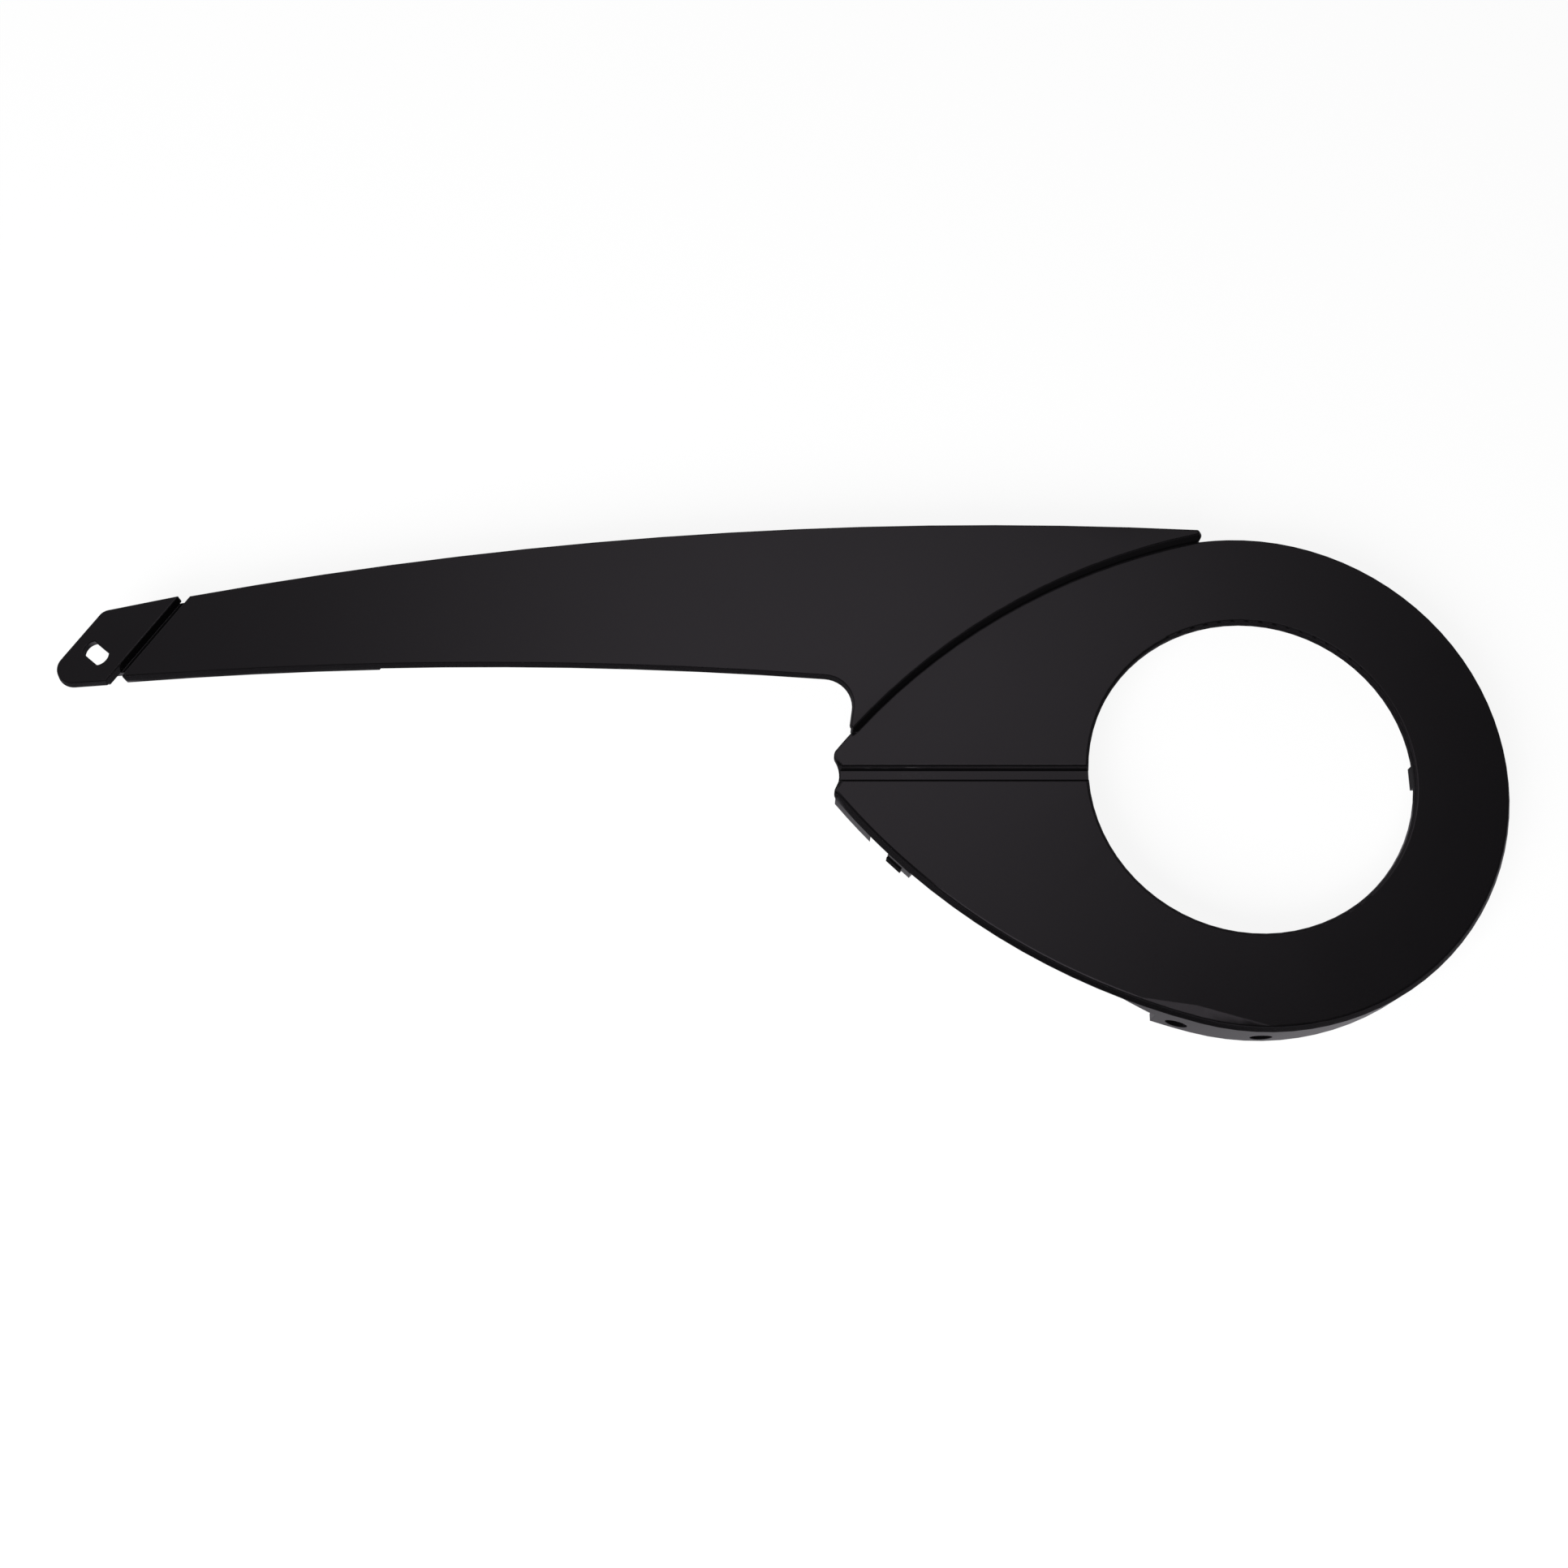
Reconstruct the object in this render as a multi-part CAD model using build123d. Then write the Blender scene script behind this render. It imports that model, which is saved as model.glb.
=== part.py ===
from build123d import *
import math
import os

# Teardrop shield around the crank, in millimetres from the crank axis
crank_hole_radius = 59.6
crank_hole_round = 1.2
disc_radius = 94.8
flank_radius = 246.7
flank_centre_x = 39.0
nose_notch_radius = 11.0
nose_notch_past_tip = 2.8
nose_corner_radius = 3.2

# Plates, flanges and their slanted edges, with the shield's back face at height zero
plate_thickness = 3.2
panel_raise = 4.6
flange_depth = 21.0
flange_wall = 2.4
edge_run = 1.35
panel_edge_run = 0.6
edge_land = 0.2
edge_round = 0.4

# Shallow groove along the shield's middle, from the nose to the crank hole
strip_groove_width = 5.8
strip_groove_depth = 1.8
strip_groove_slope = 1.2
strip_groove_wall = 2.2
strip_ledge_width = 0.7
strip_ledge_depth = 0.35
strip_ledge_fall = 0.15
strip_lip_run = 0.5
strip_steep_run = 0.7

# Arm over the upper chain run
arm_top_radius = 1554.4
arm_crest_x = -93.9
arm_crest_rise = 4.1
arm_bottom_radius = 1626.0
arm_bottom_crest_x = -281.3
arm_bottom_crest_y = 41.1
arm_tip_round = 2.2
arm_rear_top_round = 3.3
arm_rear_bottom_round = 1.0
seam_inset = 1.5
hook_from_tip = 11.2
hook_lean = 8.0
hook_radius = 10.8
hook_tip_round = 2.0
rear_lip_length = 75.0
rear_lip_drop = 1.6

# Fixing tab at the rear end, laid out about its own hole
tab_hole_x = -426.6
tab_hole_y = 45.55
tab_hole_diameter = 9.6
tab_hole_flats = 6.2
tab_hole_angle = -39.3
tab_hole_round = 0.3
tab_top_angle = 102.4
tab_top_reach = 16.85
tab_rear_angle = 145.1
tab_rear_reach = 9.55
tab_bottom_angle = -85.6
tab_bottom_reach = 11.9
tab_end_round = 6.55
tab_shoulder_round = 5.4
tab_groove_round = 0.65

# Groove with upright walls between the tab and the arm
groove_angle = -34.9
groove_reach = 10.3
groove_width = 3.4
groove_end_inset = 5.2
groove_rib_drop = 1.8
groove_rib_inset = 0.8

# Deep flange under the arm's top edge and round the shield's front
flange_rear_x = -380.0
flange_rear_ramp = 30.0
flange_join_x = -20.0
flange_step_x = -38.6
flange_ramp_length = 12.5
flange_ramp_depth = 11.0
flange_hole_radius = 4.0
flange_hole_height = 7.3
flange_hole_angles = (251.1, 269.6)

# Short flange, clip and rib under the lower flank
nose_flange_depth = 9.7
nose_flange_end_x = -139.8
nose_flange_start_y = -8.6
clip_angle = 226.4
clip_length = 6.8
clip_depth = 11.7
clip_nib = 0.5
clip_nib_height = 3.0
rib_length = 4.0
rib_depth = 9.5

# Tongue behind the front of the crank hole
tongue_width = 8.2
tongue_length = 4.5
tongue_thickness = 2.0
tongue_setback = 0.2

shield_back = 0.0
shield_face = plate_thickness
panel_back = panel_raise
panel_face = panel_raise + plate_thickness
back_edge = shield_face - flange_depth
flank_centre_y = math.sqrt((flank_radius - disc_radius) ** 2 - flank_centre_x ** 2)
shield_tip_x = flank_centre_x - math.sqrt(flank_radius ** 2 - flank_centre_y ** 2)
seam_radius = flank_radius - seam_inset
hook_x = shield_tip_x + hook_from_tip
hook_y = math.sqrt(seam_radius ** 2 - (hook_x - flank_centre_x) ** 2) - flank_centre_y
arm_top_centre_y = disc_radius + arm_crest_rise - arm_top_radius
arm_bottom_centre_y = arm_bottom_crest_y - arm_bottom_radius
arm_rear_reach = groove_reach + groove_width
cutter_span = 2 * (disc_radius - tab_hole_x)


def side_of_tab(angle, reach):
    """Half plane that ends a given reach from the tab's hole, in one direction."""
    edge = Pos(reach - cutter_span / 2, 0) * Rectangle(cutter_span, cutter_span)
    return Pos(tab_hole_x, tab_hole_y) * Rot(0, 0, angle) * edge


def tab_corner(angle, reach, next_angle, next_reach):
    """Point where two straight sides of the tab meet."""
    first = math.radians(angle)
    second = math.radians(next_angle)
    spread = math.sin(second - first)
    x = (reach * math.sin(second) - next_reach * math.sin(first)) / spread
    y = (next_reach * math.cos(first) - reach * math.cos(second)) / spread
    return tab_hole_x + x, tab_hole_y + y


def window(left, right, bottom, top):
    """Upright rectangle between four limits."""
    centre = Pos((left + right) / 2, (bottom + top) / 2)
    return centre * Rectangle(right - left, top - bottom)


def rounded(sketch, point, radius):
    """Sketch with its corner nearest to a point rounded."""
    corner = sketch.vertices().sort_by_distance(Vertex(*point))[0]
    return fillet(corner, radius)


def raised(sketch, bottom, top):
    """Prism of a sketch between two heights."""
    return extrude(Pos(0, 0, bottom) * sketch, top - bottom)


def teardrop(inset):
    """Shield outline: a disc with two flank arcs that meet in a notched nose."""
    radius = flank_radius - inset
    upper = Pos(flank_centre_x, -flank_centre_y) * Circle(radius)
    lower = Pos(flank_centre_x, flank_centre_y) * Circle(radius)
    tangent_x = -flank_centre_x * disc_radius / (flank_radius - disc_radius)
    tail = upper & lower & window(shield_tip_x, tangent_x, -disc_radius, disc_radius)
    outline = tail + Circle(disc_radius - inset)
    notch_x = shield_tip_x - nose_notch_past_tip
    outline -= Pos(notch_x, 0) * Circle(nose_notch_radius + inset)
    for side in (1, -1):
        outline = rounded(outline, (notch_x, side * nose_notch_radius), nose_corner_radius)
    return outline


def bevelled_plate(sketch, back, run):
    """Plate on a given height whose outer edge rolls over and slopes away from its face by a given run."""
    plate = raised(sketch, back, back + plate_thickness)
    face = plate.faces().sort_by(Axis.Z)[-1]
    plate = chamfer(face.edges(), run, plate_thickness - edge_land, reference=face)
    return fillet(plate.faces().sort_by(Axis.Z)[-1].edges(), edge_round)


def rolled_block(sketch):
    """Prism of a finished panel outline whose upper edge rolls over."""
    block = raised(sketch, panel_back, panel_face)
    return fillet(block.faces().sort_by(Axis.Z)[-1].edges(), edge_round)


def face_opening(plate):
    """Edges of the opening in a plate's face."""
    return plate.faces().sort_by(Axis.Z)[-1].inner_wires()[0].edges()


def arm_sheet(overrun):
    """Broad sheet that holds the arm, ended at or past the upright wall of the groove."""
    sheet = window(tab_hole_x, flank_centre_x, 0, 2 * disc_radius)
    return sheet - side_of_tab(groove_angle, arm_rear_reach - overrun)


def arm_above_seam(overrun):
    """Sheet between the arm's long top arc and the seam, rounded at the arm's front tip."""
    top_arc = Pos(arm_crest_x, arm_top_centre_y) * Circle(arm_top_radius)
    seam_arc = Pos(flank_centre_x, -flank_centre_y) * Circle(seam_radius)
    outline = (arm_sheet(overrun) & top_arc) - seam_arc
    return rounded(outline, (0, disc_radius + arm_crest_rise), arm_tip_round)


def arm_above_chain(overrun):
    """Sheet above the arm's long bottom arc, which turns down into the hook at its front."""
    bottom_arc = Pos(arm_bottom_crest_x, arm_bottom_centre_y) * Circle(arm_bottom_radius)
    behind_hook = Pos(-cutter_span / 2, 0) * Rectangle(cutter_span, cutter_span)
    outline = arm_sheet(overrun) - (bottom_arc & (Pos(hook_x, hook_y) * Rot(0, 0, -hook_lean) * behind_hook))
    inner_x = hook_x + (arm_bottom_crest_y - hook_y) * math.tan(math.radians(hook_lean))
    return rounded(outline, (inner_x, arm_bottom_crest_y), hook_radius)


def finished_arm():
    """Arm outline with the hook's tip and the two corners at the tab's groove rounded."""
    outline = rounded(arm_above_seam(0) & arm_above_chain(0), (hook_x, hook_y), hook_tip_round)
    outline = rounded(outline, (tab_hole_x, disc_radius), arm_rear_top_round)
    return rounded(outline, (tab_hole_x, 0), arm_rear_bottom_round)


def arm_plate(arm):
    """Arm plate, with slanted edges all round except for the upright wall of the groove."""
    upper = bevelled_plate(arm_above_seam(groove_width), panel_back, edge_run)
    lower = bevelled_plate(arm_above_chain(groove_width), panel_back, panel_edge_run)
    return upper & lower & rolled_block(arm)


def tab_outline(overrun):
    """Tab bounded by straight sides, rounded at its free end, up to or past the groove."""
    outline = side_of_tab(tab_top_angle, tab_top_reach) & side_of_tab(tab_rear_angle, tab_rear_reach)
    outline &= side_of_tab(tab_bottom_angle, tab_bottom_reach)
    outline &= side_of_tab(groove_angle, groove_reach + overrun)
    shoulder = tab_corner(tab_top_angle, tab_top_reach, tab_rear_angle, tab_rear_reach)
    end = tab_corner(tab_rear_angle, tab_rear_reach, tab_bottom_angle, tab_bottom_reach)
    outline = rounded(outline, shoulder, tab_shoulder_round)
    return rounded(outline, end, tab_end_round)


def finished_tab():
    """Tab outline with its upper corner at the groove rounded."""
    upper_corner = tab_corner(tab_top_angle, tab_top_reach, groove_angle, groove_reach)
    return rounded(tab_outline(0), upper_corner, tab_groove_round)


def tab():
    """Tab plate with an upright wall at the groove and a hole that has two flats."""
    plate = bevelled_plate(tab_outline(groove_width), panel_back, panel_edge_run)
    plate &= rolled_block(finished_tab())
    turned = Pos(tab_hole_x, tab_hole_y) * Rot(0, 0, tab_hole_angle)
    opening = turned * (Circle(tab_hole_diameter / 2) & Rectangle(tab_hole_diameter, tab_hole_flats))
    plate -= raised(opening, panel_back, panel_face)
    return fillet(face_opening(plate), tab_hole_round)


def tab_groove(arm):
    """Channel of even wall that joins the tab to the arm, and the rib that goes on below the tab's edge."""
    beside = side_of_tab(groove_angle, groove_reach - flange_wall)
    lane = side_of_tab(groove_angle, arm_rear_reach + flange_wall) - beside
    lane &= Pos(arm_crest_x, arm_top_centre_y) * Circle(arm_top_radius - edge_run)
    lane &= side_of_tab(tab_top_angle, tab_top_reach)
    lane &= side_of_tab(tab_bottom_angle, tab_bottom_reach - groove_end_inset)
    channel = raised(lane, shield_back, shield_face)
    channel += raised(lane & (finished_tab() + arm), shield_back, panel_back)
    rib = finished_tab() & side_of_tab(tab_bottom_angle, tab_bottom_reach - groove_rib_inset)
    return channel + raised(rib - beside, panel_back - groove_rib_drop, panel_back)


def arm_flange(arm):
    """Deep flange under the arm's top edge, slanted at its rear and thickened where it joins the disc."""
    inside = Pos(arm_crest_x, arm_top_centre_y) * Circle(arm_top_radius - flange_wall)
    join = arm & window(flange_join_x, flank_centre_x, 0, 2 * disc_radius)
    flange = raised(arm - inside + join, back_edge, panel_back)
    side = Polyline(
        (flange_rear_x, panel_back),
        (flange_rear_x + flange_rear_ramp, back_edge),
        (flank_centre_x, back_edge),
        (flank_centre_x, panel_back),
        close=True,
    )
    return flange & extrude(Plane.XZ * make_face(side), -2 * disc_radius)


def rear_lip(arm):
    """Lip that stiffens the rear stretch of the arm's bottom edge."""
    inside = Pos(arm_bottom_crest_x, arm_bottom_centre_y) * Circle(arm_bottom_radius + flange_wall)
    end = side_of_tab(groove_angle, arm_rear_reach + rear_lip_length)
    start = side_of_tab(groove_angle, arm_rear_reach + arm_rear_bottom_round)
    strip = arm & inside & end
    strip -= start
    return raised(strip, panel_back - rear_lip_drop, panel_back)


def seam_wall(arm):
    """Upright wall where the arm's panel stands above the shield."""
    strip = arm & (Pos(flank_centre_x, -flank_centre_y) * Circle(seam_radius + flange_wall))
    return raised(strip, shield_back, panel_back)


def shield():
    """Teardrop plate with its crank hole and the shallow groove along its middle."""
    plate = bevelled_plate(teardrop(0), shield_back, edge_run)
    plate -= raised(Circle(crank_hole_radius), shield_back, shield_face)
    plate = fillet(face_opening(plate), crank_hole_round)
    half = strip_groove_width / 2
    bead = window(shield_tip_x, 0, -half - strip_groove_wall, half + strip_groove_wall)
    bead = bead & teardrop(edge_run) - Circle(crank_hole_radius)
    floor = shield_face - strip_groove_depth
    plate += raised(bead, floor - strip_groove_wall, shield_back)
    ledge = shield_face - strip_ledge_depth
    ledge_end = half - strip_ledge_width
    profile = Polyline(
        (-half, shield_face),
        (strip_groove_slope - half, floor),
        (ledge_end - strip_steep_run, floor),
        (ledge_end, ledge - strip_ledge_fall),
        (half, ledge),
        (half + strip_lip_run, shield_face),
        close=True,
    )
    section = Plane.YZ * make_face(profile)
    return plate - extrude(section, 2 * shield_tip_x)


def shield_flange():
    """Deep flange round the shield's front, with its slanted lower end and two holes."""
    ring = teardrop(0) - teardrop(flange_wall)
    reach = 2 * disc_radius
    front = window(flange_step_x, reach, -reach, 0) + window(flange_join_x, reach, 0, reach)
    flange = raised(ring & front, back_edge, shield_back)
    ramp_start = flange_step_x - flange_ramp_length
    ramp = raised(ring & window(ramp_start, flange_step_x, -reach, 0), back_edge, shield_back)
    slope = Polyline(
        (ramp_start, shield_back),
        (flange_step_x, shield_face - flange_ramp_depth),
        (flange_step_x, shield_back),
        close=True,
    )
    ramp &= extrude(Plane.XZ * make_face(slope), reach)
    flange += ramp
    for angle in flange_hole_angles:
        hole = Rot(0, 0, angle) * Pos(disc_radius, 0, back_edge + flange_hole_height) * Rot(0, 90, 0)
        flange -= hole * Cylinder(flange_hole_radius, 4 * flange_wall)
    return flange


def flank_clip():
    """Short flange by the nose, and the clip and rib beside it on the lower flank."""
    ring = teardrop(0) - teardrop(flange_wall)
    near_nose = window(shield_tip_x, nose_flange_end_x, -disc_radius, nose_flange_start_y)
    pieces = raised(ring & near_nose, shield_face - nose_flange_depth, shield_back)
    on_flank = Pos(flank_centre_x, flank_centre_y) * Rot(0, 0, clip_angle) * Pos(flank_radius, 0)
    clip_bottom = shield_face - clip_depth
    middle = Pos(-flange_wall / 2, 0)
    pieces += raised(on_flank * middle * Rectangle(flange_wall, clip_length), clip_bottom, shield_back)
    nib = on_flank * Pos(clip_nib / 2 - flange_wall / 2, 0) * Rectangle(flange_wall + clip_nib, clip_length)
    pieces += raised(nib, clip_bottom, clip_bottom + clip_nib_height)
    beside = on_flank * Pos(0, (clip_length + rib_length) / 2) * middle
    return pieces + raised(beside * Rectangle(flange_wall, rib_length), shield_face - rib_depth, shield_back)


def crank_tongue():
    """Flat tongue that stands just behind the rim of the crank hole."""
    inner = crank_hole_radius + tongue_setback
    half = tongue_width / 2
    block = window(inner, inner + tongue_thickness, -half, half)
    return raised(block, shield_back - tongue_length, shield_back)


def chain_guard():
    """Whole guard as one moulded shell."""
    arm = finished_arm()
    upper = arm_plate(arm) + arm_flange(arm) + rear_lip(arm) + seam_wall(arm)
    lower = shield() + shield_flange() + flank_clip() + crank_tongue()
    return upper + lower + (tab() + tab_groove(arm))


os.makedirs("parts", exist_ok=True)
export_step(chain_guard(), "parts/chain_guard.step")
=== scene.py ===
"""Bicycle chain guard in black satin plastic, lying face up on a pale studio floor."""

import logging
import math
from dataclasses import dataclass, replace
from enum import Enum

import bpy
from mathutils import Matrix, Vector


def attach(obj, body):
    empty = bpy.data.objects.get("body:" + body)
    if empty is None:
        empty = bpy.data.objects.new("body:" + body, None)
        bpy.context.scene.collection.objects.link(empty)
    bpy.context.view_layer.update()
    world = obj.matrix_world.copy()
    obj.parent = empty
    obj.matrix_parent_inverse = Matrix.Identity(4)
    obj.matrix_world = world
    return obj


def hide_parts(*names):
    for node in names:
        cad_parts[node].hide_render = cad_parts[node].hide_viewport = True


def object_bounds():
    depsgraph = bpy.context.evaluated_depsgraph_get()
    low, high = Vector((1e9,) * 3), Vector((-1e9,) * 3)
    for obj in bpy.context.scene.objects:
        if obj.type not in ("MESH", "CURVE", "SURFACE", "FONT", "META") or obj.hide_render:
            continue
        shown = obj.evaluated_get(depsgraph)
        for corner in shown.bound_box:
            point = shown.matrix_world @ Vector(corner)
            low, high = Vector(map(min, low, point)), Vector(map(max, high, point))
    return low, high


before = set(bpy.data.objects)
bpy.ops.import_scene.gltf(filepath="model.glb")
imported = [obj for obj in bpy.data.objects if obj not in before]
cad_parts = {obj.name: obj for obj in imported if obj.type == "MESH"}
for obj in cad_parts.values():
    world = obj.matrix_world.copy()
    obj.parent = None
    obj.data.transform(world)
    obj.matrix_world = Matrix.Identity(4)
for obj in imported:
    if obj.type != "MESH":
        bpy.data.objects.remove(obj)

log = logging.getLogger("chain_guard")
cad_low, cad_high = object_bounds()

MILLIMETRE = 0.001
DISC_CENTRE = (0.0, 0.0, 0.0)
DISC_RADIUS = 0.0948
FLANK_RADIUS = 0.2467
FLANK_CENTRE = (0.039, 0.1468, 0.0)
FLANK_END_X = -0.02434
ROLL_SAMPLES = 8
SQUARE_ROOT = 0.5

Pair = tuple[float, float]
Point = tuple[float, float, float]
Colour = tuple[float, float, float]

WHITE: Colour = (1.0, 1.0, 1.0)


class Ray(Enum):
    """Kinds of light path that a stage surface answers in its own way."""

    CAMERA = "Is Camera Ray"
    GLOSSY = "Is Glossy Ray"
    TRANSMISSION = "Is Transmission Ray"


class Step(Enum):
    """Arithmetic steps used in the node sheets."""

    ADD = "ADD"
    SUBTRACT = "SUBTRACT"
    MULTIPLY = "MULTIPLY"
    LARGER = "MAXIMUM"
    GREATER = "GREATER_THAN"
    POWER = "POWER"


class Blend(Enum):
    """Ways in which a value runs from one level to another."""

    EASED = "SMOOTHSTEP"
    STRAIGHT = "LINEAR"


class Detail(Enum):
    """Marks that one side of the moulding has besides its grain."""

    NONE = "none"
    ROLL = "roll"
    SCUFFS = "scuffs"


class Side(Enum):
    """Sides of the moulding, in the order of the shell's material slots."""

    FACE = 0
    EDGE = 1
    CRISP = 2
    NIB = 3
    BACK = 4


def straight_colour(colour: Colour) -> tuple[float, float, float, float]:
    """Colour with full cover, as Blender's colour sockets take it."""
    return (*colour, 1.0)


class NodeSheet:
    """Node tree with short ways to place nodes and join their sockets."""

    def __init__(self, tree: bpy.types.NodeTree) -> None:
        """Keep the tree and start with it empty."""
        self.tree = tree
        self.tree.nodes.clear()

    def place(self, kind: str, **settings: object) -> bpy.types.Node:
        """Add a node and set its properties.

        Args:
            kind: Blender's name for the node type.
            settings: Property names of the node with their values.

        Returns:
            The new node.
        """
        node = self.tree.nodes.new(kind)
        for name, value in settings.items():
            setattr(node, name, value)
        return node

    def feed(self, socket: bpy.types.NodeSocket, value: object) -> None:
        """Join a source to an input socket, or set the socket's own value.

        Args:
            socket: Input socket.
            value: Output socket to join, or a plain value.
        """
        if isinstance(value, bpy.types.NodeSocket):
            self.tree.links.new(value, socket)
        else:
            socket.default_value = value

    def work(self, step: Step, first: object, second: object) -> bpy.types.NodeSocket:
        """Value of one arithmetic step.

        Args:
            step: Arithmetic step.
            first: Output socket or number.
            second: Output socket or number.

        Returns:
            Output socket with the result.
        """
        node = self.place("ShaderNodeMath", operation=step.value)
        self.feed(node.inputs[0], first)
        self.feed(node.inputs[1], second)
        return node.outputs[0]

    def ramp(
        self,
        value: object,
        span: Pair,
        levels: tuple[object, object],
        blend: Blend = Blend.EASED,
    ) -> bpy.types.NodeSocket:
        """Value that runs from one level to another while its source crosses a span.

        Args:
            value: Output socket that drives the change.
            span: Source values where the change begins and ends.
            levels: Levels before and after the span, each a number or an output socket.
            blend: Way of the change.

        Returns:
            Output socket with the level.
        """
        node = self.place("ShaderNodeMapRange", interpolation_type=blend.value)
        for name, amount in zip(("From Min", "From Max", "To Min", "To Max"), (*span, *levels)):
            self.feed(node.inputs[name], amount)
        self.feed(node.inputs["Value"], value)
        return node.outputs["Result"]

    def vector(self, operation: str, first: object, second: object) -> bpy.types.Node:
        """Node of one vector step on two sockets or plain vectors."""
        node = self.place("ShaderNodeVectorMath", operation=operation)
        self.feed(node.inputs[0], first)
        self.feed(node.inputs[1], second)
        return node

    def distance(self, place: bpy.types.NodeSocket, centre: Point) -> bpy.types.NodeSocket:
        """Distance of a place from a fixed point."""
        return self.vector("DISTANCE", place, centre).outputs["Value"]

    def depth(self, place: bpy.types.NodeSocket, start: Point, towards: Point) -> bpy.types.NodeSocket:
        """How far a place lies past a start point, in one direction."""
        from_start = self.vector("SUBTRACT", place, start).outputs["Vector"]
        return self.vector("DOT_PRODUCT", from_start, Vector(towards).normalized()).outputs["Value"]

    def axes(self, place: bpy.types.NodeSocket) -> bpy.types.NodeOutputs:
        """X, Y and Z of a place."""
        node = self.place("ShaderNodeSeparateXYZ")
        self.feed(node.inputs["Vector"], place)
        return node.outputs

    def past_rim(self, place: bpy.types.NodeSocket) -> bpy.types.NodeSocket:
        """How far a place lies outside the shield's rim in plan, along its lower flank and its disc."""
        flat = self.vector("MULTIPLY", place, (1.0, 1.0, 0.0)).outputs["Vector"]
        past_flank = self.work(Step.SUBTRACT, self.distance(flat, FLANK_CENTRE), FLANK_RADIUS)
        past_disc = self.work(Step.SUBTRACT, self.distance(flat, DISC_CENTRE), DISC_RADIUS)
        node = self.place("ShaderNodeMix", data_type="FLOAT")
        self.feed(node.inputs["Factor"], self.work(Step.GREATER, self.axes(place)["X"], FLANK_END_X))
        self.feed(node.inputs["A"], past_flank)
        self.feed(node.inputs["B"], past_disc)
        return node.outputs["Result"]

    def noise(self, place: bpy.types.NodeSocket, scale: object, detail: float) -> bpy.types.NodeSocket:
        """Grey noise over a place, at a number of lumps to the metre."""
        node = self.place("ShaderNodeTexNoise", noise_dimensions="3D")
        self.feed(node.inputs["Vector"], place)
        self.feed(node.inputs["Scale"], scale)
        node.inputs["Detail"].default_value = detail
        return node.outputs["Fac"]


class SurfaceEffect:
    """Shader node group that is built once and placed in each material that uses it."""

    name = "effect"
    inputs: tuple[tuple[str, str, float], ...] = ()
    outputs: tuple[tuple[str, str], ...] = ()

    def __init__(self) -> None:
        """Make the group with its named sockets and draw its nodes."""
        self.group = bpy.data.node_groups.new(self.name, "ShaderNodeTree")
        sheet = NodeSheet(self.group)
        for label, kind, value in self.inputs:
            socket = self.group.interface.new_socket(name=label, in_out="INPUT", socket_type=kind)
            socket.default_value = value
        for label, kind in self.outputs:
            self.group.interface.new_socket(name=label, in_out="OUTPUT", socket_type=kind)
        self.draw(sheet, sheet.place("NodeGroupInput"), sheet.place("NodeGroupOutput"))

    def draw(self, sheet: NodeSheet, given: bpy.types.Node, result: bpy.types.Node) -> None:
        """Draw the nodes between the group's inputs and outputs."""
        raise NotImplementedError

    def use(self, sheet: NodeSheet, **values: float) -> bpy.types.Node:
        """Place the effect in a material.

        Args:
            sheet: Node sheet of the material.
            values: Input names, with underscores for spaces, and their values.

        Returns:
            The group node.
        """
        node = sheet.place("ShaderNodeGroup", node_tree=self.group)
        for label, value in values.items():
            sheet.feed(node.inputs[label.replace("_", " ")], value)
        return node


class MouldGrain(SurfaceEffect):
    """Fine texture of the mould and the faint cloudiness of the plastic's gloss."""

    name = "mould_grain"
    inputs = (
        ("Grain Scale", "NodeSocketFloat", 2600.0),
        ("Cloud Scale", "NodeSocketFloat", 26.0),
        ("Smoothest", "NodeSocketFloat", 0.25),
        ("Roughest", "NodeSocketFloat", 0.35),
    )
    outputs = (
        ("Height", "NodeSocketFloat"),
        ("Roughness", "NodeSocketFloat"),
        ("Cloud", "NodeSocketFloat"),
    )
    grain_detail = 2.0
    cloud_detail = 4.0
    grain_share = 0.3
    cloud_share = 0.7

    def draw(self, sheet: NodeSheet, given: bpy.types.Node, result: bpy.types.Node) -> None:
        """Draw grain, clouds and their roughness."""
        place = sheet.place("ShaderNodeTexCoord").outputs["Object"]
        grain = sheet.noise(place, given.outputs["Grain Scale"], self.grain_detail)
        cloud = sheet.noise(place, given.outputs["Cloud Scale"], self.cloud_detail)
        mixed = sheet.work(
            Step.ADD,
            sheet.work(Step.MULTIPLY, cloud, self.cloud_share),
            sheet.work(Step.MULTIPLY, grain, self.grain_share),
        )
        spread = sheet.work(Step.SUBTRACT, given.outputs["Roughest"], given.outputs["Smoothest"])
        rough = sheet.work(Step.ADD, given.outputs["Smoothest"], sheet.work(Step.MULTIPLY, mixed, spread))
        sheet.feed(result.inputs["Height"], grain)
        sheet.feed(result.inputs["Roughness"], rough)
        sheet.feed(result.inputs["Cloud"], cloud)


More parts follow.
